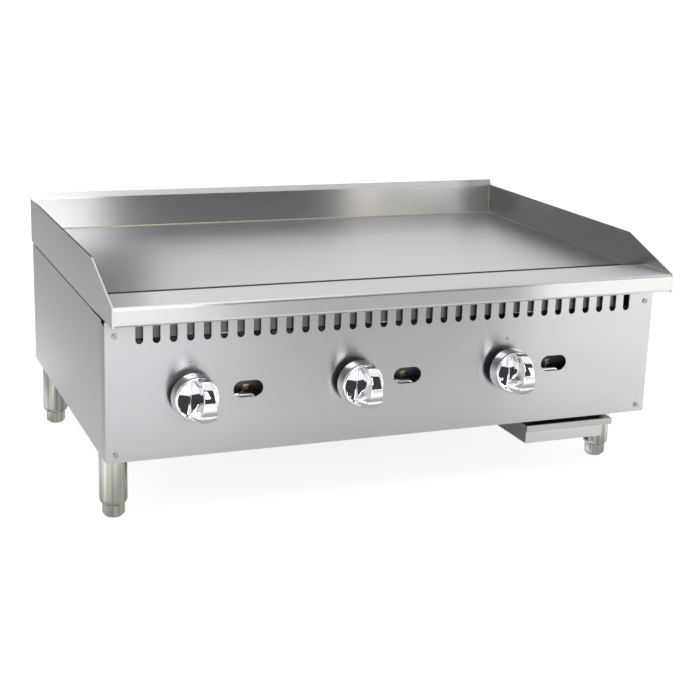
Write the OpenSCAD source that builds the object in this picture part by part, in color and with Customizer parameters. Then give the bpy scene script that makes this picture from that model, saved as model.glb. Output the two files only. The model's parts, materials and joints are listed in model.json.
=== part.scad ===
// Countertop gas griddle with three burners: a welded splash-and-plate top on a sheet-metal
// cabinet, with a grease trough that drains to a drawer, and four screw-adjusted legs.
// X runs to the right, +Y to the back and Z up from the surface that the feet stand on.

/* [Overall size] */
// Width over the two side splashes
overall_w = 914.4; // [880:0.1:950]
// Depth from the knob fronts to the end of the gas inlet
overall_d = 708; // [704:1:720]
// Height of the cabinet's underside above the counter
cabinet_z = 101.6; // [98:0.1:115]

/* [Griddle plate and splashes] */
// Thickness of the griddle plate
plate_t = 19; // [12:1:25]
// Depth of the griddle plate, front to back
plate_d = 508; // [500:1:510]
// Height of the cooking surface
plate_z = 336.5; // [334:0.5:340]
// Thickness of the splash and ledge sheet
splash_t = 2.5; // [2:0.5:3]
// Height of the side splashes' level top edge
splash_z = 392; // [380:1:410]
// Depth of the sloped front end of the side splashes
splash_slope_d = 134; // [110:1:150]
// Height of the hem that leans back above the back splash
hem_h = 10; // [6:1:14]

/* [Front ledge and trough] */
// Depth of the flat ledge in front of the trough
ledge_d = 84.5; // [80:0.5:86]
// Height of the ledge's top face
ledge_z = 347; // [345:0.5:350]
// Height of the ledge's front face
ledge_face_h = 29; // [25:1:32]
// Depth of the grease trough below the ledge
trough_h = 71; // [60:1:75]

/* [Cabinet] */
// Thickness of the cabinet sheet
sheet_t = 1.5; // [1:0.1:1.8]
// Distance of the front panel behind the ledge's front face
panel_setback = 52.2; // [50:0.1:54]
// Number of vent slots along the top of the front panel
vent_count = 33; // [21:2:33]
// Spacing of the vent slots
vent_pitch = 25.4; // [24:0.1:26]

/* [Controls] */
// Spacing of the three burner controls
control_pitch = 259.5; // [250:0.5:262]
// X of the middle control
control_x = -69.4; // [-74.6:0.2:-64.6]
// Height of the control axes
control_z = 198.5; // [196:0.5:204]
// Distance from a control to the middle of its lighting port
port_offset = 87.5; // [80:0.5:90]
// Diameter of the knob's skirt
knob_dia = 70; // [66:0.5:72]

/* [Legs] */
// Outer radius of a leg
leg_r = 21.3; // [19:0.1:22]
// Height of a foot with its screw fully in
foot_h = 20; // [18:1:24]

/* [Grease drawer] */
// Width of the drawer's tray
drawer_w = 143; // [120:1:150]
// X of the drawer's left wall
drawer_x = 232; // [226:1:236]
// Depth of the drawer, front to back
drawer_d = 400; // [300:1:420]

/* [Hidden] */
$fn = 64;

// Width stations
half_w = overall_w / 2;
splash_in_x = half_w - splash_t;
cabinet_x = half_w - 0.5;
cabinet_in_x = cabinet_x - sheet_t;

// Depth stations, from the ledge's front face backwards
ledge_y = -overall_d / 2 + 8;
panel_y = ledge_y + panel_setback;
side_y = ledge_y + 75.5;
plate_y = ledge_y + 139;
back_y = plate_y + plate_d;
cabinet_back_y = back_y - 6;
inlet_y = overall_d / 2;

// Heights
plate_bottom_z = plate_z - plate_t;
ledge_bottom_z = ledge_z - ledge_face_h;
splash_bottom_z = plate_bottom_z - 1.5;
side_top_z = splash_bottom_z - 3.3;
panel_top_z = ledge_bottom_z - 4;
post_top_z = side_top_z - 5;
trough_bottom_z = ledge_z - trough_h;
pan_top_z = cabinet_z + sheet_t;

// Vent slots and lighting ports in the front panel
vent_w = 11.6;
vent_bottom_z = 278.8;
vent_h = 32;
port_w = 46.5;
port_h = 26;
port_z = control_z;
panel_screw_x = half_w - 14.9;
panel_screw_z = [cabinet_z + 11.8, cabinet_z + 190.7];

// Controls and gas train
control_xs = [control_x - control_pitch, control_x, control_x + control_pitch];
stem_r = 3;
stem_clearance = 0.05;
manifold_y = ledge_y + 100;
manifold_z = control_z - 5;
pipe_r = 13.335;
pipe_bore_r = 10.5;
supply_x = 410;
valve_front_y = ledge_y + 66;
valve_back_y = manifold_y - pipe_r - 0.3;
valve_r = 12;
spigot_r = 6.5;
riser_y = ledge_y + 80;
outlet_r = 5;
hood_y = ledge_y + 112;
hood_len = 12;
burner_r = 16;
burner_y = ledge_y + 132;
burner_z = control_z + 24;
bend_y = ledge_y + 500;
pilot_y = ledge_y + 122;
pilot_x_offset = port_offset + 10;
pilot_valve_offset = 42;
tube_r = 3;
pilot_run_y = ledge_y + 58.5;
// Where a lighting pilot's nozzle stands on the manifold, from its control's axis
lighter_offset = port_offset + 5.8;
lighter_z = manifold_z - 2.5;

// Burner rails stand across the cabinet under the burner tubes
rail_top_z = burner_z - burner_r;
front_rail_y = ledge_y + 160;
rear_rail_y = ledge_y + 480;

// Knob, from its skirt forwards
knob_r = knob_dia / 2;
knob_back_y = panel_y - 12.5;
knob_front_y = -overall_d / 2;

// Legs stand at the cabinet's corners; the front right one clears the drawer
leg_x_left = -cabinet_x + leg_r + 0.2;
leg_x_right = 422;
leg_places = [
    [leg_x_left, ledge_y + 105],
    [leg_x_right, ledge_y + 137],
    [leg_x_left, ledge_y + 573],
    [leg_x_right, ledge_y + 573]
];
// Angle that each foot happens to be screwed round to
foot_turns = [38, 28, 9, 20];
leg_neck_h = 0.5;
foot_across_flats = 29.6;
foot_screw_r = 7.9;
stud_r = 6.35;
gusset_t = 5;

// Chute from the trough into the drawer
chute_x = 320;
chute_w = 40;
chute_y = ledge_y + 125.5;
chute_d = 18;

// Drawer
drawer_y = ledge_y + 46;
drawer_bottom_z = 67;
drawer_top_z = 97;
drawer_lip_h = 10.5;
drawer_flange_w = 17;
drawer_sheet_t = 1.2;

// ---- Shared shapes ----

// Extrudes a profile drawn in (y, z) along X, centred on x = 0
module along_x(length) {
    rotate([90, 0, 90]) linear_extrude(length, center = true) children();
}

// Extrudes a profile drawn in (x, z) backwards from y = 0
module along_y(length) {
    translate([0, length, 0]) rotate([90, 0, 0]) linear_extrude(length) children();
}

function unit(v) = v / norm(v);
function quarter_left(v) = [-v.y, v.x];

// A strip of bent sheet: its mid-line path, thickness and mid-line bend radius
module sheet_strip(path, t, r) {
    last = len(path) - 1;
    dirs = [for (i = [0:last - 1]) unit(path[i + 1] - path[i])];
    half_turn = [for (i = [1:last - 1]) acos(dirs[i - 1] * dirs[i]) / 2];
    trims = [0, for (a = half_turn) r * tan(a), 0];
    for (i = [0:last - 1]) {
        a = path[i] + dirs[i] * trims[i];
        b = path[i + 1] - dirs[i] * trims[i + 1];
        side = quarter_left(dirs[i]) * t / 2;
        polygon([a + side, a - side, b - side, b + side]);
    }
    for (i = [1:last - 1]) {
        inward = unit(dirs[i] - dirs[i - 1]);
        centre = path[i] + inward * r / cos(half_turn[i - 1]);
        from_centre = path[i] - centre;
        start = path[i] - dirs[i - 1] * trims[i] - centre;
        end = path[i] + dirs[i] * trims[i] - centre;
        translate(centre) intersection() {
            difference() {
                circle(r + t / 2);
                circle(r - t / 2);
            }
            polygon([[0, 0], start * 2, from_centre * 2, end * 2]);
        }
    }
}

// An upright obround, centred, drawn in 2D
module obround(w, h) {
    r = min(w, h) / 2;
    run = [w / 2 - r, h / 2 - r];
    square([w - (w > h ? 2 * r : 0), h - (h > w ? 2 * r : 0)], center = true);
    for (side = [-1, 1]) translate(run * side) circle(r);
}

// A box given by its two corners
module box(low, high) {
    translate(low) cube(high - low);
}

// A round rod between two points, with a round end where asked
module rod(from, to, r) {
    run = to - from;
    length = norm(run);
    tilt = acos(run.z / length);
    heading = atan2(run.y, run.x);
    translate(from) rotate([0, tilt, heading]) cylinder(length, r = r);
}

// A tube of constant radius through a list of points, with ball corners
module bent_tube(points, r) {
    for (i = [0:len(points) - 2]) rod(points[i], points[i + 1], r);
    for (i = [1:len(points) - 2]) translate(points[i]) sphere(r);
}

// A 2D ring: the section of a tube
module tube_ring(r, wall) {
    difference() {
        circle(r);
        circle(r - wall);
    }
}

// A quarter bend of tube about the origin in the plane of X and Y, from the given angle
module quarter_bend(bend_r, r, wall, from_angle) {
    rotate([0, 0, from_angle]) rotate_extrude(angle = 90) translate([bend_r, 0]) tube_ring(r, wall);
}

// ---- Top: plate, splashes, ledge and trough ----

module griddle_plate() {
    color("gainsboro")
        box([-splash_in_x, plate_y, plate_bottom_z], [splash_in_x, back_y, plate_z]);
}

module back_splash() {
    lean = 5;
    mid_y = back_y + splash_t / 2;
    path = [
        [mid_y, splash_bottom_z],
        [mid_y, splash_z - 1],
        [mid_y + lean, splash_z + hem_h - splash_t / 2]
    ];
    color("silver") along_x(overall_w) {
        sheet_strip(path, splash_t, 4);
        translate(path[2]) circle(splash_t / 2);
    }
}

module side_splash(x) {
    outline = [
        [ledge_y, ledge_bottom_z],
        [ledge_y, ledge_z],
        [ledge_y + splash_slope_d, splash_z],
        [back_y, splash_z],
        [back_y, splash_bottom_z],
        [plate_y, splash_bottom_z]
    ];
    translate([x, 0, 0]) along_x(splash_t) polygon(outline);
}

module left_splash() {
    color("darkgray") side_splash(-half_w + splash_t / 2);
}

module right_splash() {
    color("darkgray") side_splash(half_w - splash_t / 2);
}

module front_ledge() {
    edge = splash_t / 2;
    path = [
        [ledge_y + ledge_d, ledge_z - edge],
        [ledge_y + edge, ledge_z - edge],
        [ledge_y + edge, ledge_bottom_z + edge],
        [ledge_y + 14, ledge_bottom_z + edge]
    ];
    color("whitesmoke") along_x(2 * splash_in_x) sheet_strip(path, splash_t, 4);
}

// Hangs from the ledge just behind the vent slots, and stops short of the last one
module slot_baffle() {
    left_x = -436;
    right_x = 395;
    bottom_z = 286;
    color("lightgray")
        box([left_x, panel_y + 5.8, bottom_z], [right_x, panel_y + 7.3, ledge_z - splash_t]);
}

module chute_opening(margin) {
    size = [chute_w - margin, chute_d - margin];
    translate([chute_x, chute_y, 0]) linear_extrude(1200, center = true) square(size, center = true);
}

module grease_trough() {
    front = ledge_y + ledge_d + 1;
    back = plate_y - 1;
    floor_z = trough_bottom_z + 1;
    path = [
        [front, ledge_z],
        [front, floor_z],
        [back, floor_z],
        [back, plate_z - 4]
    ];
    end_x = 452;
    color("dimgray") {
        difference() {
            along_x(2 * end_x) sheet_strip(path, 2, 4);
            translate([0, 0, trough_bottom_z]) chute_opening(3);
        }
        for (side = [-1, 1]) translate([side * (end_x + 1), 0, 0]) along_x(2) {
            translate([front - 1, trough_bottom_z])
                square([back - front + 2, plate_z - 4 - trough_bottom_z]);
        }
    }
}

module grease_chute() {
    color("silver") difference() {
        translate([chute_x, chute_y, cabinet_z - 1])
            linear_extrude(trough_bottom_z - cabinet_z + 1) square([chute_w, chute_d], center = true);
        chute_opening(3);
    }
}

// Angles along both sides that carry the plate and brace the side panels
module plate_rails() {
    rail_t = 3;
    rail_w = 40;
    front_y = plate_y + 4;
    end_y = cabinet_back_y - 8;
    flange_z = plate_bottom_z - rail_t;
    color("gray") for (side = [-1, 1]) scale([side, 1, 1]) {
        box([cabinet_in_x - rail_w, front_y, flange_z], [cabinet_in_x - 1, end_y, plate_bottom_z]);
        box([cabinet_in_x - rail_t, front_y, plate_bottom_z - rail_w], [cabinet_in_x, end_y, flange_z]);
    }
}

// ---- Cabinet ----

module front_panel() {
    return_d = 5;
    color("lightgray") difference() {
        union() {
            translate([0, panel_y, 0]) along_y(sheet_t)
                translate([-cabinet_x, cabinet_z]) square([2 * cabinet_x, panel_top_z - cabinet_z]);
            for (side = [-1, 1]) scale([side, 1, 1])
                box([cabinet_in_x, panel_y, cabinet_z], [cabinet_x, panel_y + return_d, post_top_z]);
        }
        vents_x = (vent_count - 1) * vent_pitch / 2;
        for (i = [0:vent_count - 1])
            translate([i * vent_pitch - vents_x, panel_y - 1, vent_bottom_z + vent_h / 2])
                along_y(sheet_t + 2) obround(vent_w, vent_h);
        for (x = control_xs) {
            translate([x + port_offset, panel_y - 1, port_z])
                along_y(sheet_t + 2) obround(port_w, port_h);
            translate([x, panel_y - 1, control_z]) along_y(sheet_t + 2) circle(8);
        }
        panel_screw_holes();
        index_stud_holes();
    }
}

module side_panel() {
    box([cabinet_in_x, side_y, cabinet_z], [cabinet_x, cabinet_back_y, side_top_z]);
}

module left_side_panel() {
    color("darkgray") scale([-1, 1, 1]) side_panel();
}

module right_side_panel() {
    color("darkgray") side_panel();
}

module back_panel() {
    flue_pitch = 38;
    flue_count = 21;
    flue_x = (flue_count - 1) * flue_pitch / 2;
    color("silver") difference() {
        box([-cabinet_in_x, cabinet_back_y - sheet_t, cabinet_z],
            [cabinet_in_x, cabinet_back_y, side_top_z]);
        for (i = [0:flue_count - 1])
            translate([i * flue_pitch - flue_x, cabinet_back_y - sheet_t - 1, 262])
                along_y(sheet_t + 2) obround(14, 70);
        translate([supply_x, cabinet_back_y - sheet_t - 1, manifold_z])
            along_y(sheet_t + 2) circle(pipe_r + 3);
    }
}

module bottom_pan() {
    inset = 1.6;
    hole_w = 120;
    color("darkgray") difference() {
        box([-cabinet_in_x, panel_y + inset, cabinet_z],
            [cabinet_in_x, cabinet_back_y - inset, pan_top_z]);
        for (x = control_xs, y = [200, 300, 400])
            translate([x + port_offset, ledge_y + y, cabinet_z - 1])
                linear_extrude(sheet_t + 2) obround(hole_w, 30);
        translate([0, 0, cabinet_z]) chute_opening(-0.4);
        for (p = leg_places)
            translate([p.x, p.y, cabinet_z - 1]) cylinder(sheet_t + 2, r = stud_r + 0.2);
    }
}

// Angles in the cabinet's corners; a strip of the front pair shows beside the front panel
module corner_posts() {
    flange_w = 26;
    web_x = cabinet_in_x - sheet_t;
    color("gray") difference() {
        for (side = [-1, 1]) scale([side, 1, 1]) {
            box([cabinet_in_x, panel_y + 5.5, cabinet_z], [cabinet_x, side_y - 0.8, post_top_z]);
            box([web_x, panel_y + sheet_t, pan_top_z], [cabinet_in_x, side_y + 6, post_top_z]);
            box([web_x - flange_w, panel_y + sheet_t, pan_top_z],
                [web_x, panel_y + 2 * sheet_t, post_top_z]);
            box([web_x - flange_w, cabinet_back_y - 2 * sheet_t, pan_top_z],
                [cabinet_in_x, cabinet_back_y - sheet_t, plate_bottom_z - 42]);
            box([web_x, cabinet_back_y - flange_w, pan_top_z],
                [cabinet_in_x, cabinet_back_y - sheet_t, plate_bottom_z - 42]);
        }
        panel_screw_holes();
    }
}

module burner_rail(y) {
    rail_t = 2;
    foot = 18;
    difference() {
        union() {
            box([-cabinet_in_x, y, pan_top_z], [cabinet_in_x, y + rail_t, rail_top_z]);
            box([-cabinet_in_x, y + rail_t, pan_top_z], [cabinet_in_x, y + foot, pan_top_z + rail_t]);
        }
        translate([supply_x, y - 1, manifold_z]) along_y(rail_t + 2) circle(pipe_r + 2);
    }
}

module front_burner_rail() {
    color("gray") burner_rail(front_rail_y);
}

module rear_burner_rail() {
    color("gray") burner_rail(rear_rail_y);
}

// ---- Legs and feet ----

module leg_gussets() {
    reach = 62;
    outer_x = cabinet_in_x - 2;
    color("gray") for (p = leg_places) difference() {
        low_x = p.x > 0 ? outer_x - reach : -outer_x;
        box([low_x, p.y - 34, pan_top_z], [low_x + reach, p.y + 22, pan_top_z + gusset_t]);
        translate([p.x, p.y, pan_top_z - 1]) cylinder(gusset_t + 2, r = stud_r + 0.2);
    }
}

module leg_nuts() {
    nut_h = 9;
    color("silver") for (p = leg_places) translate([p.x, p.y, pan_top_z + gusset_t]) difference() {
        cylinder(nut_h, r = 11, $fn = 6);
        translate([0, 0, -1]) cylinder(nut_h + 2, r = stud_r);
    }
}

// A leg: a tube rolled in at its foot end, with a neck and a threaded stud on top
module leg(place) {
    roll_h = 9;
    roll_in = 5.6;
    roll_r = (roll_h * roll_h + roll_in * roll_in) / (2 * roll_in);
    top_z = cabinet_z - leg_neck_h;
    neck_r = 14;
    bore_top_z = 70;
    stud_top_z = pan_top_z + gusset_t + 14;
    translate([place.x, place.y, 0]) difference() {
        union() {
            rotate_extrude() {
                translate([0, foot_h + roll_h]) square([leg_r, top_z - foot_h - roll_h]);
                intersection() {
                    translate([leg_r - roll_r, foot_h + roll_h]) circle(roll_r);
                    translate([0, foot_h]) square([leg_r, roll_h + 1]);
                }
            }
            translate([0, 0, top_z]) cylinder(leg_neck_h, r = neck_r);
            translate([0, 0, cabinet_z]) cylinder(stud_top_z - cabinet_z, r = stud_r);
        }
        cylinder(bore_top_z, r = foot_screw_r + stem_clearance);
    }
}

// A hexagonal foot with a chamfered sole, on the screw that goes up into the leg
module foot(place, turn) {
    chamfer = 5;
    corner_r = foot_across_flats / 2 / cos(30);
    body_h = foot_h - 0.1;
    screw_top_z = 66;
    translate([place.x, place.y, 0]) {
        intersection() {
            rotate([0, 0, turn]) cylinder(body_h, r = corner_r, $fn = 6);
            rotate_extrude() polygon([
                [0, 0],
                [corner_r - chamfer, 0],
                [corner_r + 0.1, chamfer],
                [corner_r + 0.1, body_h],
                [0, body_h]
            ]);
        }
        cylinder(screw_top_z, r = foot_screw_r);
    }
}

module leg_front_left() { color("silver") leg(leg_places[0]); }
module leg_front_right() { color("silver") leg(leg_places[1]); }
module leg_rear_left() { color("silver") leg(leg_places[2]); }
module leg_rear_right() { color("silver") leg(leg_places[3]); }
module foot_front_left() { color("gainsboro") foot(leg_places[0], foot_turns[0]); }
module foot_front_right() { color("gainsboro") foot(leg_places[1], foot_turns[1]); }
module foot_rear_left() { color("gainsboro") foot(leg_places[2], foot_turns[2]); }
module foot_rear_right() { color("gainsboro") foot(leg_places[3], foot_turns[3]); }

// ---- Gas train ----

module pipe(from, to) {
    difference() {
        rod(from, to, pipe_r);
        overrun = unit(to - from);
        rod(from - overrun, to + overrun, pipe_bore_r);
    }
}

manifold_left_x = -395;
manifold_right_x = supply_x - 14;

module gas_manifold() {
    color("dimgray") difference() {
        pipe([manifold_left_x, manifold_y, manifold_z], [manifold_right_x, manifold_y, manifold_z]);
        for (x = control_xs) {
            translate([x, manifold_y - 30, manifold_z]) along_y(30) circle(spigot_r);
            translate([x + pilot_valve_offset, manifold_y - 30, manifold_z])
                along_y(30) circle(4);
            translate([x + lighter_offset, manifold_y - 30, lighter_z]) along_y(30) circle(2);
        }
    }
}

module manifold_cap() {
    wall = 3.5;
    color("dimgray") translate([manifold_left_x, manifold_y, manifold_z]) rotate([0, -90, 0])
        difference() {
            translate([0, 0, -16]) cylinder(20, r = pipe_r + wall);
            translate([0, 0, -17]) cylinder(17, r = pipe_r);
        }
}

module manifold_elbow() {
    collar_r = pipe_r + 3.5;
    reach = 24;
    centre = [supply_x, manifold_y, manifold_z];
    left_end = centre - [reach, 0, 0];
    back_end = centre + [0, reach, 0];
    color("dimgray") difference() {
        bent_tube([left_end, centre, back_end], collar_r);
        bent_tube([left_end - [1, 0, 0], centre, back_end + [0, 1, 0]], pipe_bore_r);
        rod(left_end - [1, 0, 0], [manifold_right_x, manifold_y, manifold_z], pipe_r);
        rod(centre + [0, 14, 0], back_end + [0, 1, 0], pipe_r);
    }
}

// Runs back along the right side; its threaded end stands out behind the cabinet
module supply_pipe() {
    thread_len = 20;
    thread_r = 13.1;
    thread_y = inlet_y - thread_len;
    color("dimgray") {
        pipe([supply_x, manifold_y + 14, manifold_z], [supply_x, thread_y, manifold_z]);
        translate([supply_x, thread_y, manifold_z]) along_y(thread_len) difference() {
            circle(thread_r);
            circle(pipe_bore_r);
        }
    }
}

module manifold_brackets() {
    strap_w = 24;
    color("gray") for (x = [-150, 110]) translate([x, manifold_y, 0]) difference() {
        union() {
            box([-strap_w / 2, -1.5, pan_top_z + 2], [strap_w / 2, 1.5, manifold_z]);
            box([-strap_w / 2, -10, pan_top_z], [strap_w / 2, 10, pan_top_z + 2]);
            rod([-strap_w / 2, 0, manifold_z], [strap_w / 2, 0, manifold_z], pipe_r + 2.5);
        }
        rod([-strap_w, 0, manifold_z], [strap_w, 0, manifold_z], pipe_r);
    }
}

// A burner valve: bonnet and body on the control axis, a spigot back into the manifold and an
// outlet that rises and passes over the manifold to the burner's mouth
module gas_valve(x) {
    bonnet_len = 7;
    outlet_end = hood_y + 4;
    color("goldenrod") difference() {
        union() {
            translate([x, valve_front_y, control_z])
                along_y(valve_back_y - valve_front_y) circle(valve_r);
            translate([x, valve_front_y - bonnet_len, control_z]) along_y(bonnet_len) circle(9, $fn = 6);
            translate([x, valve_back_y - 4, manifold_z])
                along_y(manifold_y - pipe_bore_r - valve_back_y + 4) circle(spigot_r);
            bent_tube([
                [x, riser_y, control_z],
                [x, riser_y, burner_z],
                [x, outlet_end, burner_z]
            ], outlet_r);
        }
        translate([x, valve_front_y - bonnet_len - 1, control_z])
            along_y(22.5) circle(stem_r + stem_clearance);
        rod([x, riser_y, manifold_z], [x, manifold_y, manifold_z], 2);
        rod([x, riser_y, manifold_z], [x, riser_y, burner_z], 2);
        rod([x, riser_y, burner_z], [x, outlet_end + 1, burner_z], 2);
    }
}

module gas_valve_left() { gas_valve(control_xs[0]); }
module gas_valve_center() { gas_valve(control_xs[1]); }
module gas_valve_right() { gas_valve(control_xs[2]); }

// A stem with a flat that the knob grips
module valve_stem(x) {
    front_y = knob_back_y - 16;
    back_y = valve_front_y + 14;
    flat = 1.2;
    color("darkgoldenrod") translate([x, 0, control_z]) difference() {
        translate([0, front_y, 0]) along_y(back_y - front_y) circle(stem_r);
        box([-stem_r, front_y - 1, stem_r - flat], [stem_r, knob_back_y + 2, stem_r + 1]);
    }
}

module valve_stem_left() { valve_stem(control_xs[0]); }
module valve_stem_center() { valve_stem(control_xs[1]); }
module valve_stem_right() { valve_stem(control_xs[2]); }

// A die-cast knob: a skirt with a tapered shoulder, and a grip that widens towards its foot
module knob(x) {
    rim_h = 22.5;
    rim_r = knob_r - 2.5;
    floor_h = 18;
    grip_x = 9;
    grip_top_w = 13;
    grip_top_z = rim_r - 3;
    grip_foot_r = 12;
    grip_foot_z = grip_foot_r - knob_r - 1.5;
    crown_r = 54;
    crown_z = -14;
    color("white") translate([x, 0, control_z]) difference() {
        union() {
            translate([0, knob_back_y, 0]) rotate([90, 0, 0]) rotate_extrude() polygon([
                [0, 0],
                [knob_r, 0],
                [knob_r - 1.5, rim_h - 2],
                [rim_r, rim_h],
                [rim_r - 3, rim_h],
                [rim_r - 6, floor_h],
                [0, floor_h]
            ]);
            intersection() {
                translate([0, knob_front_y, 0]) along_y(knob_back_y - 12 - knob_front_y) {
                    polygon([
                        [grip_x - grip_top_w / 2, grip_top_z],
                        [grip_x + grip_top_w / 2, grip_top_z],
                        [grip_x + grip_foot_r, grip_foot_z],
                        [grip_x - grip_foot_r, grip_foot_z]
                    ]);
                    translate([grip_x, grip_foot_z]) circle(grip_foot_r);
                }
                translate([0, knob_front_y + crown_r, crown_z])
                    along_x(2 * knob_r) circle(crown_r, $fn = 128);
            }
        }
        translate([0, knob_back_y - 16, 0]) along_y(20) difference() {
            circle(stem_r);
            translate([-stem_r, stem_r - 1.2]) square([2 * stem_r, 2]);
        }
        translate([0, knob_back_y - 6, 0]) along_y(20) difference() {
            circle(knob_r - 4);
            circle(9);
        }
    }
}

module knob_left() { knob(control_xs[0]); }
module knob_center() { knob(control_xs[1]); }
module knob_right() { knob(control_xs[2]); }

module orifice_hoods() {
    color("gold") for (x = control_xs) translate([x, hood_y, burner_z]) difference() {
        along_y(hood_len) circle(8, $fn = 6);
        translate([0, -1, 0]) along_y(5) circle(5);
        translate([0, 3, 0]) along_y(20) circle(0.9);
    }
}

// Round plates on the burner mouths with four air windows each
module air_shutters() {
    color("silver") for (x = control_xs) translate([x, burner_y - 2, burner_z]) difference() {
        along_y(2) circle(24);
        translate([0, -1, 0]) along_y(4) circle(9);
        for (turn = [0:90:270]) rotate([0, turn, 0])
            translate([16, -1, 0]) along_y(4) circle(5);
    }
}

// A U-shaped tube burner: a venturi mouth behind its valve, flame slots along both legs
module burner(x) {
    wall = 1.5;
    bend_r = port_offset;
    far_x = x + 2 * bend_r;
    bell_len = 18;
    end_y = ledge_y + 150;
    slot_pitch = 24;
    color("darkgray") {
        difference() {
            union() {
                translate([x, burner_y, burner_z])
                    along_y(bend_y - burner_y) tube_ring(burner_r, wall);
                translate([far_x, end_y, burner_z])
                    along_y(bend_y - end_y) tube_ring(burner_r, wall);
            }
            for (leg_x = [x, far_x], y = [ledge_y + 190:slot_pitch:bend_y - 30])
                translate([leg_x, y, burner_z + burner_r]) cube([2.5, 14, 6], center = true);
        }
        translate([x, burner_y, burner_z]) along_y(bell_len) tube_ring(burner_r + 5, 5);
        translate([far_x, end_y - 2, burner_z]) along_y(2) circle(burner_r);
        translate([x + bend_r, bend_y, burner_z]) rotate_extrude(angle = 180)
            translate([bend_r, 0]) tube_ring(burner_r, wall);
    }
}

module burner_left() { burner(control_xs[0]); }
module burner_center() { burner(control_xs[1]); }
module burner_right() { burner(control_xs[2]); }

// ---- Pilots ----

pilot_top_z = burner_z + 4;

module pilot_burners() {
    color("goldenrod") for (x = control_xs) translate([x + pilot_x_offset, pilot_y, 0]) difference() {
        union() {
            translate([0, 0, pilot_top_z - 20]) cylinder(16, r = 5);
            translate([0, 0, pilot_top_z - 16]) cylinder(5, r = 7, $fn = 6);
            translate([0, 0, pilot_top_z - 4]) cylinder(4, r = 3.5);
        }
        translate([0, 0, pilot_top_z - 10]) cylinder(20, r = 1.5);
    }
}

// Channels on the front burner rail that hold the pilots in front of the burners
module pilot_brackets() {
    t = 2;
    z = pilot_top_z - 24;
    reach = front_rail_y - pilot_y;
    color("darkkhaki") for (x = control_xs) translate([x + pilot_x_offset, pilot_y, 0]) difference() {
        union() {
            box([-9, -8, z + 4 - t], [9, reach - t, z + 4]);
            box([-9, reach - t, z - 20], [9, reach, z + 4]);
        }
        translate([0, 0, z]) cylinder(8, r = tube_r);
    }
}

// A needle valve on the manifold's front, with a block that the pilot tube leaves to the right
module pilot_valves() {
    block_y = pilot_run_y - manifold_y;
    block_w = 8;
    color("goldenrod") for (x = control_xs)
        translate([x + pilot_valve_offset, manifold_y, manifold_z]) {
            translate([0, block_y, 0]) along_y(-pipe_bore_r - block_y) circle(4);
            translate([0, -pipe_r - 10, 0]) along_y(8) circle(7, $fn = 6);
            box([-block_w / 2, block_y - 3, -10], [block_w / 2, block_y + 3, 3]);
        }
}

// Each pilot tube crosses behind the port's lower edge, then runs back under the manifold
module pilot_tubes() {
    wall = 0.8;
    bend_r = 6;
    run_z = control_z - 11.5;
    under_z = manifold_z - pipe_r - tube_r - 4;
    color("silver") for (x = control_xs) {
        start_x = x + pilot_valve_offset + 4;
        end_x = x + pilot_x_offset;
        run_len = end_x - bend_r - start_x;
        translate([start_x + run_len / 2, pilot_run_y, run_z]) along_x(run_len) tube_ring(tube_r, wall);
        translate([end_x - bend_r, pilot_run_y, run_z - bend_r]) rotate([90, 0, 0])
            quarter_bend(bend_r, tube_r, wall, 0);
        translate([end_x, pilot_run_y, under_z + bend_r])
            linear_extrude(run_z - under_z - 2 * bend_r) tube_ring(tube_r, wall);
        translate([end_x, pilot_run_y + bend_r, under_z + bend_r]) rotate([90, 0, 90])
            quarter_bend(bend_r, tube_r, wall, 180);
        translate([end_x, pilot_run_y + bend_r, under_z])
            along_y(pilot_y - pilot_run_y - 2 * bend_r) tube_ring(tube_r, wall);
        translate([end_x, pilot_y - bend_r, under_z + bend_r]) rotate([90, 0, 90])
            quarter_bend(bend_r, tube_r, wall, 270);
        translate([end_x, pilot_y, under_z + bend_r])
            linear_extrude(pilot_top_z - 20 - under_z - bend_r) tube_ring(tube_r, wall);
    }
}

// A nozzle on the manifold's front, in a C-shaped hood, that a match reaches through the port
module lighting_pilots() {
    t = 1.8;
    nozzle_x = 5.8;
    low_z = -6;
    high_z = 6;
    front_y = -pipe_r - 7.5;
    back_y = -pipe_r - 0.4;
    color("goldenrod") for (x = control_xs)
        translate([x + lighter_offset - nozzle_x, manifold_y, lighter_z]) {
            box([0, front_y, low_z], [t, back_y, high_z]);
            box([0, front_y, high_z - t], [9, back_y, high_z]);
            box([0, back_y - t, low_z + 2], [9, back_y, high_z]);
            box([1, front_y + 1, low_z - 3], [3.2, front_y + 4, low_z + 3]);
            translate([nozzle_x, front_y + 0.6, 0]) along_y(back_y - front_y - 0.8) circle(2.6);
            translate([nozzle_x, back_y - 1, 0]) along_y(4) circle(2 - stem_clearance);
        }
}

// ---- Grease drawer ----

module drawer_rails() {
    t = 1.5;
    front_y = side_y + 2;
    back_y = ledge_y + 470;
    web_left = drawer_x - 13;
    web_right = drawer_x + drawer_w + drawer_flange_w + 2;
    foot_z = drawer_top_z - drawer_sheet_t - 0.3 - t;
    color("gray") {
        box([web_left, front_y, foot_z], [web_left + t, back_y, cabinet_z]);
        box([web_left + t, front_y, foot_z], [drawer_x - 2, back_y, foot_z + t]);
        box([web_right, front_y, foot_z], [web_right + t, back_y, cabinet_z]);
        box([drawer_x + drawer_w + 2, front_y, foot_z], [web_right, back_y, foot_z + t]);
    }
}

module grease_drawer() {
    t = drawer_sheet_t;
    right_x = drawer_x + drawer_w;
    back_y = drawer_y + drawer_d;
    color("lightgray") difference() {
        box([drawer_x, drawer_y, drawer_bottom_z], [right_x, back_y, drawer_top_z]);
        box([drawer_x + t, drawer_y + t, drawer_bottom_z + t],
            [right_x - t, back_y - t, drawer_top_z + 1]);
    }
}

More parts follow.
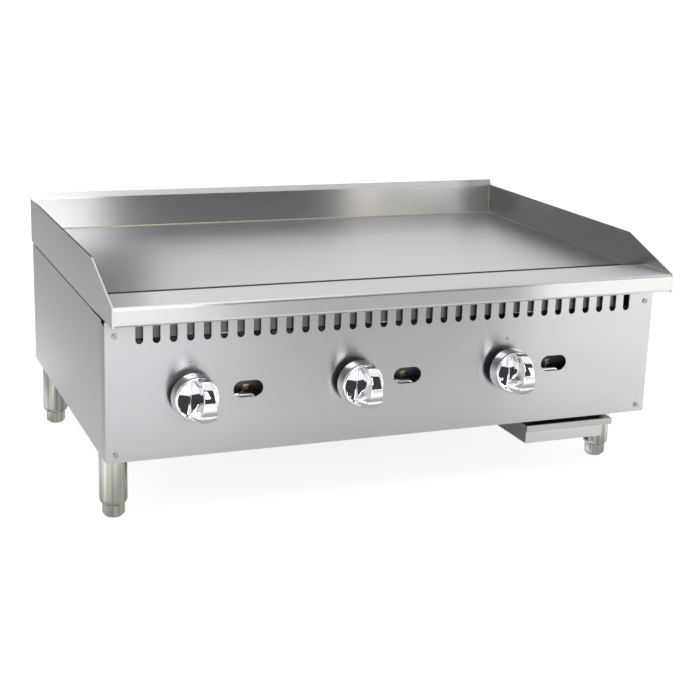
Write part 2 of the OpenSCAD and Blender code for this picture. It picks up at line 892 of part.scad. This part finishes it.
// The flanges that the tray hangs by, and the lip that it is pulled out with
module drawer_flanges() {
    t = drawer_sheet_t;
    right_x = drawer_x + drawer_w;
    back_y = drawer_y + drawer_d;
    flange_y = side_y - 6;
    lip_right_x = right_x + drawer_flange_w;
    color("silver") {
        box([drawer_x - 9, flange_y, drawer_top_z - t], [drawer_x, back_y, drawer_top_z]);
        box([right_x, drawer_y, drawer_top_z - t], [lip_right_x, back_y, drawer_top_z]);
        box([drawer_x, drawer_y - 2 * t, drawer_top_z - t], [lip_right_x, drawer_y, drawer_top_z]);
        box([drawer_x, drawer_y - 2 * t, drawer_top_z - drawer_lip_h],
            [lip_right_x, drawer_y - t, drawer_top_z - t]);
    }
}

// ---- Fasteners ----

module panel_screw_holes() {
    for (side = [-1, 1], z = panel_screw_z)
        translate([side * panel_screw_x, panel_y - 1, z]) along_y(6) circle(2.1);
}

module panel_screws() {
    head_r = 4;
    color("silver") for (side = [-1, 1], z = panel_screw_z)
        translate([side * panel_screw_x, panel_y, z]) difference() {
            union() {
                along_y(8) circle(2.1);
                translate([0, -2.2, 0]) along_y(2.2) circle(head_r);
            }
            for (turn = [0, 90]) rotate([0, 30 + turn, 0])
                box([-2.4, -3, -0.5], [2.4, -1, 0.5]);
        }
}

index_stud_z = control_z + 47;
index_stud_r = 2.4;

module index_stud_holes() {
    for (x = control_xs)
        translate([x, panel_y - 1, index_stud_z]) along_y(6) circle(index_stud_r - 0.8);
}

module index_studs() {
    color("silver") for (x = control_xs) translate([x, panel_y, index_stud_z]) {
        translate([0, -1.5, 0]) along_y(1.5) circle(index_stud_r);
        along_y(3) circle(index_stud_r - 0.8);
    }
}

griddle_plate();
back_splash();
left_splash();
right_splash();
front_ledge();
slot_baffle();
grease_trough();
grease_chute();
plate_rails();
front_panel();
left_side_panel();
right_side_panel();
back_panel();
bottom_pan();
corner_posts();
front_burner_rail();
rear_burner_rail();
leg_gussets();
leg_nuts();
leg_front_left();
leg_front_right();
leg_rear_left();
leg_rear_right();
foot_front_left();
foot_front_right();
foot_rear_left();
foot_rear_right();
gas_manifold();
manifold_cap();
manifold_elbow();
supply_pipe();
manifold_brackets();
gas_valve_left();
gas_valve_center();
gas_valve_right();
valve_stem_left();
valve_stem_center();
valve_stem_right();
knob_left();
knob_center();
knob_right();
orifice_hoods();
air_shutters();
burner_left();
burner_center();
burner_right();
pilot_burners();
pilot_brackets();
pilot_valves();
pilot_tubes();
lighting_pilots();
drawer_rails();
grease_drawer();
drawer_flanges();
panel_screws();
index_studs();
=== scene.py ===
"""Looks for the countertop gas griddle: materials, knobs, weld beads, studio and camera."""
import json
import math

import bmesh
import bpy
from mathutils import Matrix, Vector


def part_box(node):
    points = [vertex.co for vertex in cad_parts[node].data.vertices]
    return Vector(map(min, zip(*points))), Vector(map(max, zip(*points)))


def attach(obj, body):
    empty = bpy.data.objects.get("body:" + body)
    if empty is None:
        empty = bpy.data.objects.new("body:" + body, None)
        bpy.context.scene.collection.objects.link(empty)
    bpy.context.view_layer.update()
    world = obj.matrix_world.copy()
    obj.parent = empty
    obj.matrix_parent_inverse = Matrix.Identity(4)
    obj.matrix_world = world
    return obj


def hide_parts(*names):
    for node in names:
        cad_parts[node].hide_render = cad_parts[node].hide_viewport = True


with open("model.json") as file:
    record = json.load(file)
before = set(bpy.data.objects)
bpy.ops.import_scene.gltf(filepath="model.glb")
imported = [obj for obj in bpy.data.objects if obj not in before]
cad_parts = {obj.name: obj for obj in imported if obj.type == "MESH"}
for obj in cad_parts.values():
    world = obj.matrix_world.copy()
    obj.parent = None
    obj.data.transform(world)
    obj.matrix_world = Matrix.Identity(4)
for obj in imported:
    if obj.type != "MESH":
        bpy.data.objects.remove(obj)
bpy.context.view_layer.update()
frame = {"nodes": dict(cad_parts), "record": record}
nodes = frame["nodes"]
scene = bpy.context.scene
scene.view_settings.view_transform = 'Standard'

# ---------------------------------------------------------------- materials


def new_material(name):
    """An empty material with its node tree and shader."""
    mat = bpy.data.materials.new(name)
    mat.use_nodes = True
    tree = mat.node_tree
    tree.nodes.clear()
    out = tree.nodes.new("ShaderNodeOutputMaterial")
    bsdf = tree.nodes.new("ShaderNodeBsdfPrincipled")
    tree.links.new(bsdf.outputs[0], out.inputs[0])
    return mat, tree, bsdf


def add(tree, kind, **values):
    node = tree.nodes.new(kind)
    for key, value in values.items():
        setattr(node, key, value)
    return node


def stretched_noise(tree, scale_xyz, noise_scale=1.0, detail=3.0):
    """Noise in the object's own metres, squeezed along each axis by scale_xyz."""
    coord = add(tree, "ShaderNodeTexCoord")
    mapping = add(tree, "ShaderNodeMapping")
    mapping.inputs["Scale"].default_value = scale_xyz
    noise = add(tree, "ShaderNodeTexNoise")
    noise.inputs["Scale"].default_value = noise_scale
    noise.inputs["Detail"].default_value = detail
    noise.inputs["Roughness"].default_value = 0.6
    tree.links.new(coord.outputs["Object"], mapping.inputs["Vector"])
    tree.links.new(mapping.outputs[0], noise.inputs["Vector"])
    return noise.outputs["Fac"]


def ramp(tree, fac, low, high, start=0.3, end=0.7):
    """Low to high as fac goes from start to end, and level beyond them."""
    r = add(tree, "ShaderNodeMapRange")
    r.inputs["From Min"].default_value = start
    r.inputs["From Max"].default_value = end
    r.inputs["To Min"].default_value = low
    r.inputs["To Max"].default_value = high
    tree.links.new(fac, r.inputs["Value"])
    return r.outputs[0]


def mix_colour(tree, fac, a, b):
    m = add(tree, "ShaderNodeMix", data_type='RGBA')
    tree.links.new(fac, m.inputs["Factor"])
    m.inputs["A"].default_value = (*a, 1)
    m.inputs["B"].default_value = (*b, 1)
    return m.outputs["Result"]


def surface(tree, bsdf, colour, vary, clouds, rough, spread, texture, depth):
    """Colour that drifts with clouds, with roughness and bump that follow texture."""
    tint = mix_colour(tree, ramp(tree, clouds, 0, 1), [c * (1 - vary) for c in colour],
                      [min(1, c * (1 + vary)) for c in colour])
    tree.links.new(tint, bsdf.inputs["Base Color"])
    tree.links.new(ramp(tree, texture, rough * (1 - spread), rough * (1 + spread)),
                   bsdf.inputs["Roughness"])
    bump = add(tree, "ShaderNodeBump")
    bump.inputs["Distance"].default_value = depth
    tree.links.new(texture, bump.inputs["Height"])
    tree.links.new(bump.outputs[0], bsdf.inputs["Normal"])


GRAIN_FINE = 1500.0     # how often the brushing repeats across its grain, per metre
GRAIN_LONG = 22.0       # and along it
GRAIN_DEPTH = 0.000004
CLOUD_LONG = 1.5        # how often the tint drifts along the grain, per metre


def steel(name, colour, rough, grain, tangent, aniso, vary=0.05, cloud_fine=14.0):
    """Brushed steel. grain is the axis the brushing runs along, tangent is across it, and
    cloud_fine is how often the tint drifts across the grain."""
    mat, tree, bsdf = new_material(name)
    streaks = stretched_noise(tree, [GRAIN_LONG if axis == grain else GRAIN_FINE
                                     for axis in "xyz"], detail=2.0)
    clouds = stretched_noise(tree, [CLOUD_LONG if axis == grain else cloud_fine
                                    for axis in "xyz"])
    surface(tree, bsdf, colour, vary, clouds, rough, 0.05, streaks, GRAIN_DEPTH)
    bsdf.inputs["Metallic"].default_value = 1.0
    bsdf.inputs["Anisotropic"].default_value = aniso
    vec = add(tree, "ShaderNodeCombineXYZ")
    for i in range(3):
        vec.inputs[i].default_value = tangent[i]
    tree.links.new(vec.outputs[0], bsdf.inputs["Tangent"])
    return mat


def plain(name, colour, rough, metallic=1.0, vary=0.08, scale=60.0, depth=0.00003):
    """Cast, painted or turned metal with a fine uneven surface."""
    mat, tree, bsdf = new_material(name)
    noise = stretched_noise(tree, (1, 1, 1), noise_scale=scale, detail=4.0)
    surface(tree, bsdf, colour, vary, noise, rough, 0.15, noise, depth)
    bsdf.inputs["Metallic"].default_value = metallic
    return mat


def paint_shade_along(mat, axis, start, end, factor):
    """Multiplies a steel's colour down along one axis: painted shade, as near a corner."""
    tree = mat.node_tree
    bsdf = next(n for n in tree.nodes if n.type == 'BSDF_PRINCIPLED')
    base = bsdf.inputs["Base Color"].links[0].from_socket
    coord = add(tree, "ShaderNodeTexCoord")
    split = add(tree, "ShaderNodeSeparateXYZ")
    tree.links.new(coord.outputs["Object"], split.inputs[0])
    scale = add(tree, "ShaderNodeVectorMath", operation='SCALE')
    tree.links.new(base, scale.inputs[0])
    tree.links.new(ramp(tree, split.outputs["XYZ".index(axis)], 1.0, factor, start, end),
                   scale.inputs["Scale"])
    tree.links.new(scale.outputs[0], bsdf.inputs["Base Color"])


ACROSS_X = (0.0, 0.7071, 0.7071)
ACROSS_Y = (0.7071, 0.0, 0.7071)
ACROSS_XY = (0.7071, 0.7071, 0.0)

mats = {
    "plate": steel("plate", (0.56, 0.57, 0.59), 0.30, "x", (0, 1, 0), aniso=0.3, vary=0.015),
    "splash_x": steel("splash_x", (0.68, 0.68, 0.67), 0.22, "x", ACROSS_X, aniso=1.0, vary=0.02),
    "splash_y": steel("splash_y", (0.70, 0.72, 0.69), 0.24, "y", ACROSS_Y, aniso=1.0, vary=0.05),
    # the right splash's own copy of the steel, which is darkened towards the rear further down:
    # painted shade
    "splash_right_shaded": steel("splash_right_shaded", (0.60, 0.61, 0.59), 0.24, "y", ACROSS_Y, aniso=1.0,
                          vary=0.02),
    "ledge": steel("ledge", (0.64, 0.64, 0.64), 0.26, "x", ACROSS_X, aniso=1.0, vary=0.02),
    # the trough's steel is dark grey: painted shade for the inside of the trough
    "trough": steel("trough", (0.22, 0.22, 0.22), 0.35, "x", ACROSS_X, aniso=0.6),
    "panel_x": steel("panel_x", (0.535, 0.545, 0.56), 0.29, "x", ACROSS_X, aniso=0.85, vary=0.02),
    "panel_y": steel("panel_y", (0.57, 0.57, 0.58), 0.30, "y", ACROSS_Y, aniso=0.85, vary=0.02),
    "post": steel("post", (0.5, 0.5, 0.5), 0.3, "z", ACROSS_XY, aniso=0.6),
    "plain": steel("zinc_sheet", (0.55, 0.56, 0.57), 0.42, "x", ACROSS_X, aniso=0.3, vary=0.1),
    "drawer": steel("drawer", (0.66, 0.66, 0.68), 0.3, "x", ACROSS_X, aniso=0.8, vary=0.02),
    "leg": steel("leg", (0.60, 0.60, 0.54), 0.17, "z", (0, 0, 1), aniso=0.8, vary=0.42,
                 cloud_fine=170.0),
    "foot": steel("foot", (0.66, 0.66, 0.58), 0.2, "z", (0, 0, 1), aniso=0.4, vary=0.42,
                  cloud_fine=170.0),
    "flange": steel("flange", (0.50, 0.52, 0.49), 0.25, "x", ACROSS_X, aniso=0.8, vary=0.04),
    "chrome": plain("chrome", (0.88, 0.88, 0.90), 0.05, vary=0.01, depth=0.0),
    # near-black back of each knob: painted shade for the shaded hollow behind it
    "hollow": plain("knob_back_painted_shade", (0.02, 0.02, 0.02), 0.6, metallic=0.0, vary=0.1),
    "pipe": plain("black_pipe", (0.13, 0.13, 0.135), 0.38, metallic=0.6, vary=0.2),
    "brass": plain("brass", (0.80, 0.66, 0.38), 0.32, vary=0.1),
    "burner": plain("burner", (0.42, 0.42, 0.42), 0.5, vary=0.15),
    "tube": plain("tube", (0.80, 0.80, 0.80), 0.25, vary=0.05),
    "zinc": plain("zinc_bright", (0.42, 0.42, 0.42), 0.3, vary=0.05),
    # the baffle behind the slots is dark grey: painted shade for the inside of the cabinet
    "shade": plain("baffle", (0.16, 0.16, 0.165), 0.45, vary=0.05),
    "weld": plain("weld", (0.50, 0.44, 0.30), 0.34, vary=0.35, scale=220.0),
    "grey_weld": plain("grey_weld", (0.44, 0.44, 0.37), 0.32, vary=0.3, scale=220.0),
}

# painted shade towards the rear right corner, where the splashes are welded: the right splash
# darkens towards the rear and the back splash towards its right end
paint_shade_along(mats["splash_right_shaded"], "Y", 0.02, 0.33, 0.66)
paint_shade_along(mats["splash_x"], "X", 0.380, 0.412, 0.62)

by_slot = {
    "plate_steel": "plate", "splash_steel": "splash_x", "trough_steel": "trough",
    "panel_steel": "panel_x", "post_steel": "post", "plain_steel": "plain",
    "drawer_steel": "drawer", "leg_nickel": "leg", "foot_nickel": "foot",
    "knob_chrome": "chrome", "black_pipe": "pipe", "valve_brass": "brass",
    "burner_steel": "burner", "tube_aluminium": "tube", "fastener_zinc": "zinc",
}
by_node = {
    "left_splash": "splash_y", "right_splash": "splash_right_shaded", "front_ledge": "ledge",
    "slot_baffle": "shade", "drawer_flanges": "flange",
    "left_side_panel": "panel_y", "right_side_panel": "panel_y",
}


slot_of = {s["node"]: s["material_slot"] for s in frame["record"]["subparts"]}
for name, obj in nodes.items():
    obj.data.materials.clear()
    obj.data.materials.append(mats[by_node.get(name, by_slot[slot_of[name]])])

# ---------------------------------------------------------------- bevels on sheet edges


EDGE_WIDTH = 0.0004

for name in ("griddle_plate", "left_splash", "right_splash", "grease_drawer", "drawer_flanges"):
    mod = nodes[name].modifiers.new("edge", 'BEVEL')
    mod.width = EDGE_WIDTH
    mod.segments = 2
    mod.limit_method = 'ANGLE'
    mod.angle_limit = math.radians(40)
    mod.harden_normals = True

# ---------------------------------------------------------------- knobs


def part_mesh(name, verts, faces, mat, sharp_angle):
    """A new smooth object from points in metres. Where sharp_angle is given, its faces are
    turned outward and it keeps the edges sharper than that many degrees."""
    mesh = bpy.data.meshes.new(name)
    mesh.from_pydata(verts, [], faces)
    if sharp_angle is not None:
        bm = bmesh.new()
        bm.from_mesh(mesh)
        bmesh.ops.recalc_face_normals(bm, faces=bm.faces)
        bm.to_mesh(mesh)
        bm.free()
    mesh.polygons.foreach_set("use_smooth", [True] * len(mesh.polygons))
    if sharp_angle is not None:
        mesh.set_sharp_from_angle(angle=math.radians(sharp_angle))
    obj = bpy.data.objects.new(name, mesh)
    scene.collection.objects.link(obj)
    mesh.materials.append(mat)
    return obj


def loft(rings):
    """Points and quads of a closed tube through equal rings, with both ends capped."""
    n = len(rings[0])
    verts = [v for ring in rings for v in ring]
    faces = [(i * n + j, i * n + (j + 1) % n, (i + 1) * n + (j + 1) % n, (i + 1) * n + j)
             for i in range(len(rings) - 1) for j in range(n)]
    faces.append(tuple(range(n)))
    faces.append(tuple(range((len(rings) - 1) * n, len(rings) * n)))
    return verts, faces


# The knob's own frame: x to the right, z up, both from its axis, and "forward" from its back.
KNOB_R = 0.035
RIM_R = 0.0294          # inner edge of the rounded rim
# the skirt's side and rim as (radius, forward), from the back round to the hollow's edge
RIM_PROFILE = ((0.0300, 0.0), (0.0342, 0.0), (KNOB_R, 0.0008), (0.0347, 0.008), (0.0339, 0.0178),
               (0.0335, 0.0200), (0.0327, 0.0214), (0.0316, 0.0221), (0.0304, 0.0221),
               (0.0298, 0.0217), (RIM_R, 0.0209))
HOLLOW_RADII = (0.0288, 0.0270, 0.0235, 0.019, 0.013, 0.007)    # rings of points inside the rim
HOLLOW_X, HOLLOW_Z = -0.006, 0.015      # the hollow's deepest point
HOLLOW_W, HOLLOW_H = 0.0337, 0.040      # its reach from there
HOLLOW_FORWARD, HOLLOW_DEPTH = 0.0213, 0.0092
GRIP_TOP, GRIP_LOW = 0.0305, -0.0205    # z of the grip's ends
TAIL = 0.0150           # how far the rounded tail reaches below the grip
GRIP_FORWARD = 0.0473   # the grip's crown
EDGE_R = 0.0030         # rounding where the grip's front meets its left wall
CREASE_TOP, CREASE_LOW = 0.0285, -0.0245


def hollow(x, z):
    """How far the hollow in the knob's front stands forward of the knob's back."""
    deep = 1 - ((x - HOLLOW_X) / HOLLOW_W) ** 2 - ((z - HOLLOW_Z) / HOLLOW_H) ** 2
    deep = deep - 0.1 if deep >= 0.3 else max(0.0, deep + 0.1) ** 2 / 0.8
    return HOLLOW_FORWARD - HOLLOW_DEPTH * deep


def crease_x(z):
    """Where the grip's left wall runs into the hollow."""
    return -0.0075 - 0.0095 * max(0.0, (0.031 - z) / 0.057) ** 3


def grip_front(z):
    """The grip's crowned front: it leans back towards its top."""
    up = z + 0.004
    drop = 0.0150 * (up / 0.0345) ** 2 if up > 0 else 9.0 * up * up + 900 * abs(up) ** 3
    return GRIP_FORWARD - drop


def grip_edges(z):
    """The grip's left and right edges, which spread towards its foot."""
    t = (GRIP_TOP - z) / (GRIP_TOP - GRIP_LOW)
    left = 0.0012 + 0.0020 * math.sin(math.pi * min(t, 1.0)) - 0.0016 * t
    right = 0.0152 + 0.0085 * t ** 0.8
    return left, right


def grip_section(z):
    """The grip cut level: (x, forward) from the left wall's foot round to the right one's."""
    left, right = grip_edges(z)
    front = grip_front(z)
    foot_x, foot_f = crease_x(z), hollow(crease_x(z), z)
    wall_x, wall_f = left - foot_x, front - EDGE_R - foot_f
    root = 0.004        # how far the wall is sunk below the hollow
    pts = [(foot_x - wall_x / max(root, wall_f) * root, foot_f - root)]
    pts += [(foot_x + wall_x * u, foot_f + wall_f * u) for u in (0.0, 0.25, 0.5, 0.75, 0.95)]
    for k in range(5):
        a = math.pi / 2 * (k + 0.5) / 5
        pts.append((left + 0.0026 * (1 - math.cos(a)), front - EDGE_R * (1 - math.sin(a))))
    pts += [(left + 0.0034, front), ((left + right) / 2, front + 0.0002), (right - 0.0016, front)]
    for k in range(3):
        a = math.pi / 2 * (k + 0.5) / 3
        pts.append((right - 0.0014 * (1 - math.sin(a)), front - 0.0014 * (1 - math.cos(a))))
    pts += [(right + 0.0004, front - 0.003), (right + 0.0030, 0.012)]
    return pts


def skirt_mesh(turns):
    """The skirt, its rim and the hollow, turned about the knob's axis: (x, forward, z)."""
    verts, faces = [], []
    for i in range(turns):
        a = 2 * math.pi * i / turns
        verts += [(r * math.sin(a), f, r * math.cos(a)) for r, f in RIM_PROFILE]
        for r in HOLLOW_RADII:
            x, z = r * math.sin(a), r * math.cos(a)
            verts.append((x, hollow(x, z), z))
    n = len(RIM_PROFILE) + len(HOLLOW_RADII)
    for i in range(turns):
        j = (i + 1) % turns
        faces += [(i * n + k, i * n + k + 1, j * n + k + 1, j * n + k) for k in range(n - 1)]
    faces.append(tuple(i * n + n - 1 for i in range(turns)))
    faces.append(tuple(i * n for i in reversed(range(turns))))
    return verts, faces


def grip_mesh(rows, steps):
    """The grip from its top down to its foot, and the rounded tail below it."""
    cap = 0.0012        # rounding at the top
    span = GRIP_TOP - cap - GRIP_LOW
    top = [(x, f - cap if f > 0.02 else f, GRIP_TOP) for x, f in grip_section(GRIP_TOP)]
    rings = [top]
    for k in range(rows + 1):
        z = GRIP_TOP - cap - span * k / rows
        rings.append([(x, f, z) for x, f in grip_section(z)])
    left, right = grip_edges(GRIP_LOW)
    mid = (left + right) / 2 - 0.0015
    base = 0.017        # forward of this the tail closes in, behind it the skirt backs it
    for k in range(1, steps + 1):
        a = math.pi / 2 * k / steps
        pinch = max(0.02, math.cos(a)) ** 0.6
        swell = 1 + 0.30 * math.sin(min(a * 1.3, math.pi / 2))
        ring = []
        for x, f in grip_section(GRIP_LOW):
            nx = mid + (x - mid) * pinch * swell if f > 0.021 else mid + (x - mid) * pinch
            nf = base + (f - base) * max(0.0, math.cos(a)) ** 0.62 if f > base else f
            side_up = 0.0042 * ((nx - mid) / 0.014) ** 2 * math.sin(a)
            ring.append((nx, nf, GRIP_LOW - TAIL * math.sin(a) + side_up))
        rings.append(ring)
    return loft(rings)


def crease_mesh(count):
    """The rounded crease where the grip's left wall runs into the hollow."""
    verts, faces = [], []
    for i in range(count + 1):
        z = CREASE_TOP - (CREASE_TOP - CREASE_LOW) * i / count
        x, f = crease_x(z), hollow(crease_x(z), z)
        wx, wf = grip_edges(z)[0] - x, grip_front(z) - EDGE_R - f
        size = math.hypot(wx, wf)
        r = 0.0019 * (1 - 0.35 * i / count)
        a, c = (x - r, hollow(x - r, z)), (x + wx / size * r, f + wf / size * r)
        for u in (0.0, 0.25, 0.5, 0.75, 1.0):
            px = (1 - u) ** 2 * a[0] + 2 * u * (1 - u) * x + u * u * c[0]
            pf = (1 - u) ** 2 * a[1] + 2 * u * (1 - u) * f + u * u * c[1]
            verts.append((px, pf + 0.00004, z))
    for i in range(count):
        faces += [(i * 5 + k, i * 5 + k + 1, (i + 1) * 5 + k + 1, (i + 1) * 5 + k)
                  for k in range(4)]
    return verts, faces


def knob_parts(side):
    """Three chrome pieces that stand for one knob and turn with its control."""
    (x0, _, _), (x1, back_y, z1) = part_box("knob_" + side)
    axis_x, axis_z = (x0 + x1) / 2, z1 - KNOB_R
    for piece, (verts, faces), sharp_angle in (
            ("skirt", skirt_mesh(110), 40),
            ("grip", grip_mesh(40, 24), 55),
            ("crease", crease_mesh(36), None)):
        obj = part_mesh(f"knob_{piece}_{side}",
                        [(axis_x + x, back_y - f, axis_z + z) for x, f, z in verts],
                        faces, mats["chrome"], sharp_angle)
        if piece == "skirt":
            # the faces on the knob's back get the near-black material: painted shade
            obj.data.materials.append(mats["hollow"])
            for face in obj.data.polygons:
                if all(back_y - obj.data.vertices[v].co.y < 0.0003 for v in face.vertices):
                    face.material_index = 1
        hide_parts("knob_" + side)
        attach(obj, side + "_control")


for side in ("left", "center", "right"):
    knob_parts(side)

# ---------------------------------------------------------------- weld beads


BEAD_STEP = 0.004       # a bead's ripples are about this long
BEAD_SIDES = 6


def bead(name, start, end, radius, mat):
    """A rippled weld bead along a straight seam."""
    start, end = Vector(start), Vector(end)
    step = BEAD_STEP * 1
    count = max(2, int((end - start).length / step))
    ahead = (end - start).normalized()
    ref = Vector((0, 0, 1)) if abs(ahead.z) < 0.9 else Vector((0, 1, 0))
    u = ahead.cross(ref).normalized()
    v = u.cross(ahead)
    turn = 2 * math.pi / BEAD_SIDES
    rings = []
    for i in range(count + 1):
        p = start.lerp(end, i / count)
        r = radius * (1 + 0.22 * math.sin(i * 2.4) + 0.12 * math.sin(i * 0.9 + 1))
        rings.append([tuple(p + r * (u * math.cos(turn * k) + v * math.sin(turn * k)))
                      for k in range(BEAD_SIDES)])
    verts, faces = loft(rings)
    obj = part_mesh(name, verts, faces, mat, 80)
    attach(obj, "cabinet")


(plate_x0, plate_y0, _), (plate_x1, plate_y1, plate_z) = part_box("griddle_plate")
(_, ledge_y0, _), (_, ledge_y1, ledge_z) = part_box("front_ledge")
splash_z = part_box("back_splash")[1][2]
corner_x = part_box("right_splash")[0][0]
corner_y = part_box("back_splash")[0][1]
bead("weld_corner", (corner_x, corner_y, plate_z), (corner_x, corner_y, splash_z - 0.014),
     0.0018, mats["weld"])
bead("weld_rear", (plate_x0 + 0.003, plate_y1, plate_z), (plate_x1 - 0.003, plate_y1, plate_z),
     0.0016, mats["weld"])
for side, plate_x, splash_x in (("left", plate_x0, -corner_x), ("right", plate_x1, corner_x)):
    bead("weld_side_" + side, (plate_x, plate_y0 + 0.004, plate_z),
         (plate_x, plate_y1 - 0.002, plate_z), 0.0015, mats["grey_weld"])
    bead("weld_ledge_" + side, (splash_x, ledge_y0 + 0.006, ledge_z),
         (splash_x, ledge_y1 - 0.002, ledge_z), 0.0013, mats["ledge"])

# ---------------------------------------------------------------- studio


FLOOR_REACH = 60.0
FLOOR_DROP = 0.0005     # the floor lies this far under the feet, clear of the cards on it

world = bpy.data.worlds.new("studio")
scene.world = world
world.use_nodes = True
world.node_tree.nodes["Background"].inputs[0].default_value = (1, 1, 1, 1)
world.node_tree.nodes["Background"].inputs[1].default_value = 1.0

floor_mesh = bpy.data.meshes.new("floor")
floor = bpy.data.objects.new("floor", floor_mesh)
scene.collection.objects.link(floor)
floor_mesh.from_pydata([(x * FLOOR_REACH, y * FLOOR_REACH, 0)
                        for x, y in ((-1, -1), (1, -1), (1, 1), (-1, 1))], [], [(0, 1, 2, 3)])
floor_mat, _, floor_bsdf = new_material("floor")
floor_bsdf.inputs["Base Color"].default_value = (0.35, 0.35, 0.35, 1)
floor_bsdf.inputs["Roughness"].default_value = 0.9
floor_bsdf.inputs["Specular IOR Level"].default_value = 0.0
floor_bsdf.inputs["Emission Color"].default_value = (1, 1, 1, 1)
floor_bsdf.inputs["Emission Strength"].default_value = 0.84
floor_mesh.materials.append(floor_mat)
floor.location.z = -FLOOR_DROP


def add_light(name, kind, energy, place):
    light = bpy.data.lights.new(name, kind)
    light.energy = energy
    obj = bpy.data.objects.new(name, light)
    scene.collection.objects.link(obj)
    obj.location = place
    obj.visible_camera = False
    return obj


top_light = add_light("top", 'AREA', 25, (-0.4, -0.6, 3.4))
top_light.data.shape = 'RECTANGLE'
top_light.data.size = top_light.data.size_y = 3.0
aim = Vector((0, 0, 0.2)) - top_light.location
top_light.rotation_euler = aim.to_track_quat('-Z', 'Y').to_euler()

# small lamps inside the cabinet, which light what shows through the lighting ports
for side in ("left", "center", "right"):
    (knob_x0, _, _), (knob_x1, _, _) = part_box("knob_" + side)
    lamp = add_light("port_" + side, 'POINT', 0.05, ((knob_x0 + knob_x1) / 2 + 0.075, -0.272, 0.228))
    lamp.data.shadow_soft_size = 0.012


def card(name, corners, colour, strength):
    """A glowing card that only reflections see, and the shader that makes it glow."""
    mesh = bpy.data.meshes.new(name)
    obj = bpy.data.objects.new(name, mesh)
    scene.collection.objects.link(obj)
    mesh.from_pydata(corners, [], [(0, 1, 2, 3)])
    mat = bpy.data.materials.new(name)
    mat.use_nodes = True
    tree = mat.node_tree
    tree.nodes.clear()
    out = add(tree, "ShaderNodeOutputMaterial")
    emit = add(tree, "ShaderNodeEmission")
    emit.inputs["Color"].default_value = (*colour, 1)
    emit.inputs["Strength"].default_value = strength
    tree.links.new(emit.outputs[0], out.inputs[0])
    mesh.materials.append(mat)
    obj.visible_camera = False
    obj.visible_diffuse = False
    obj.visible_shadow = False
    obj.visible_transmission = False
    return tree, emit


# upright cards: name, two points of the plan, lowest and highest z, colour, strength
for name, a, b, z0, z1, colour, strength in (
        ("dark_front", (-5.0, -3.4), (5.0, -3.4), 0.0, 3.1, (0.85, 0.97, 1.0), 0.055),
        ("white_front", (-0.55, -1.8), (0.12, -1.8), 0.62, 1.4, (1, 1, 1), 4.0),
        ("warm_front", (0.86, -1.5), (3.2, -1.5), 0.0, 0.85, (1.0, 0.94, 0.88), 2.2),
        ("dark_rear", (0.3, 2.5), (-0.75, 2.5), 0.0, 2.5, (0.9, 1.0, 0.95), 0.06),
        ("dim_left", (-0.75, 2.5), (-3.5, 1.0), 0.0, 2.5, (0.9, 1.0, 0.95), 0.16)):
    card(name, [(*a, z0), (*b, z0), (*b, z1), (*a, z1)], colour, strength)


def math_node(tree, operation, *values):
    """A Math node whose inputs are linked sockets or plain numbers."""
    node = add(tree, "ShaderNodeMath", operation=operation)
    for socket, value in zip(node.inputs, values):
        if isinstance(value, (int, float)):
            socket.default_value = value
        else:
            tree.links.new(value, socket)
    return node.outputs[0]


def floor_card(name, x0, x1, y0, y1, fade, dim, z):
    """A card on the floor: strength dim inside a box, turning to white over the fade round it."""
    left, right, near, far = x0 - fade, x1 + fade, y0 - fade, y1 + fade
    corners = [(left, near, z), (right, near, z), (right, far, z), (left, far, z)]
    tree, emit = card(name, corners, (1, 1, 1), 1)
    coord = add(tree, "ShaderNodeTexCoord")
    split = add(tree, "ShaderNodeSeparateXYZ")
    tree.links.new(coord.outputs["Object"], split.inputs[0])
    outside = [math_node(tree, 'MULTIPLY_ADD', split.outputs[axis], sign / fade,
                         -sign * bound / fade)
               for axis, low, high in ((0, x0, x1), (1, y0, y1))
               for bound, sign in ((low, -1), (high, 1))]
    furthest = outside[0]
    for distance in outside[1:]:
        furthest = math_node(tree, 'MAXIMUM', furthest, distance)
    tree.links.new(ramp(tree, furthest, dim, 1.05, 0.0, 1.0), emit.inputs["Strength"])


# near_floor and under_cabinet are dim: painted shadow of the cabinet on the floor, seen only in
# reflections
floor_card("near_floor", -0.46, 0.46, -0.40, 0.36, 0.16, 0.42, 0.0)
floor_card("under_cabinet", -0.26, 0.36, -0.20, 0.34, 0.04, 0.12, 0.0004)
floor_card("front_floor", 0.20, 1.7, -2.0, -1.10, 0.30, 0.80, 0.0)
floor_card("bright_floor", -0.55, -0.05, -1.75, -1.05, 0.15, 1.75, 0.0003)
floor_card("left_floor", -2.0, -0.66, 0.05, 2.2, 0.15, 0.48, 0.0)

# ---------------------------------------------------------------- camera


CAMERA_PLACE = (-0.87043, -2.22397, 0.82372)
CAMERA_AZIMUTH, CAMERA_ELEVATION, CAMERA_ROLL = 22.27, -15.47, 1.9      # degrees


def add_camera():
    az, el, roll = (math.radians(a) for a in (CAMERA_AZIMUTH, CAMERA_ELEVATION, CAMERA_ROLL))
    forward = Vector((math.sin(az) * math.cos(el), math.cos(az) * math.cos(el), math.sin(el)))
    level = Vector((math.cos(az), -math.sin(az), 0))
    upright = level.cross(forward)
    right = level * math.cos(roll) + upright * math.sin(roll)
    up = -level * math.sin(roll) + upright * math.cos(roll)
    data = bpy.data.cameras.new("camera")
    data.lens = 73.07
    data.sensor_width = 36
    data.clip_end = 200
    obj = bpy.data.objects.new("camera", data)
    scene.collection.objects.link(obj)
    obj.matrix_world = Matrix.Translation(CAMERA_PLACE) @ Matrix(
        (right, up, -forward)).transposed().to_4x4()
    scene.camera = obj


add_camera()
